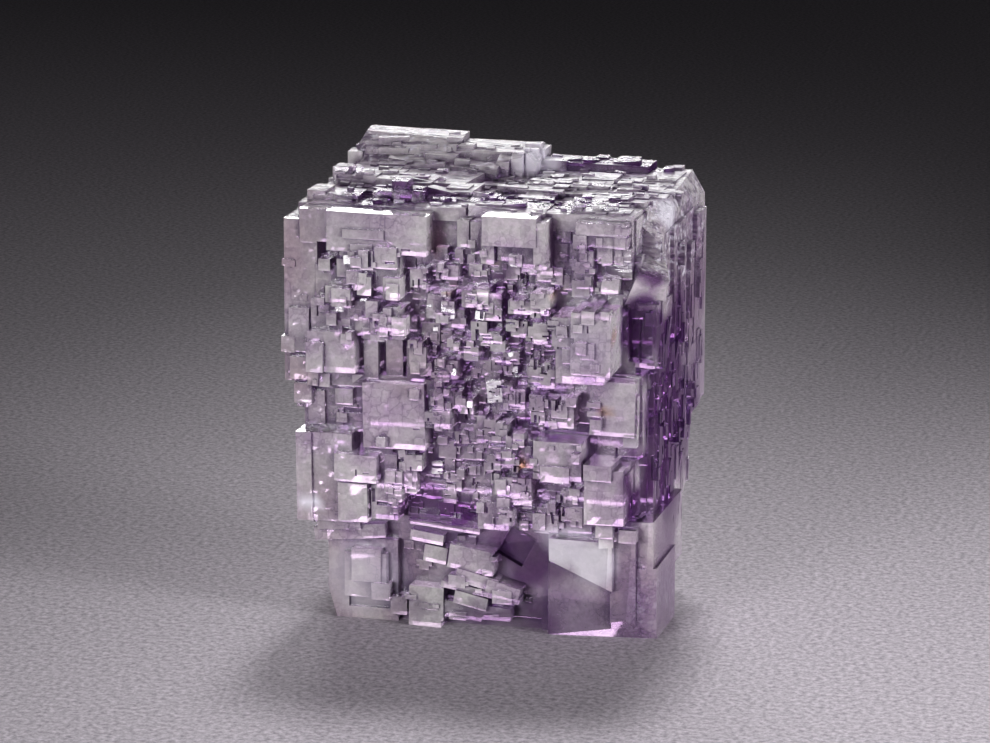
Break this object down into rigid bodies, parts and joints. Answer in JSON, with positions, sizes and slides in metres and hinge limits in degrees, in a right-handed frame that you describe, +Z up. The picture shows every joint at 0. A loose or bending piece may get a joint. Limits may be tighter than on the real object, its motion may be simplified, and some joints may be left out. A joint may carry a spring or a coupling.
{
  "type": "fluorite crystal specimen",
  "caption": "Blocky group of intergrown fluorite cubes, clear to violet, with stepped mosaic faces, standing upright on a flat broken base.",
  "frame": {"origin": "middle of the bounding box in plan, on the flat base", "axes": "+Z up; the stepped display face looks towards -Y and the deep violet side towards +X"},
  "size_m": [0.0298, 0.024, 0.0346],
  "materials": {
    "fluorite": "vitreous lustre on growth faces, translucent, colourless to lavender with deep violet zones"
  },
  "bodies": {
    "root": {"fluorite_crystal": "fluorite"}
  },
  "joints": []
}
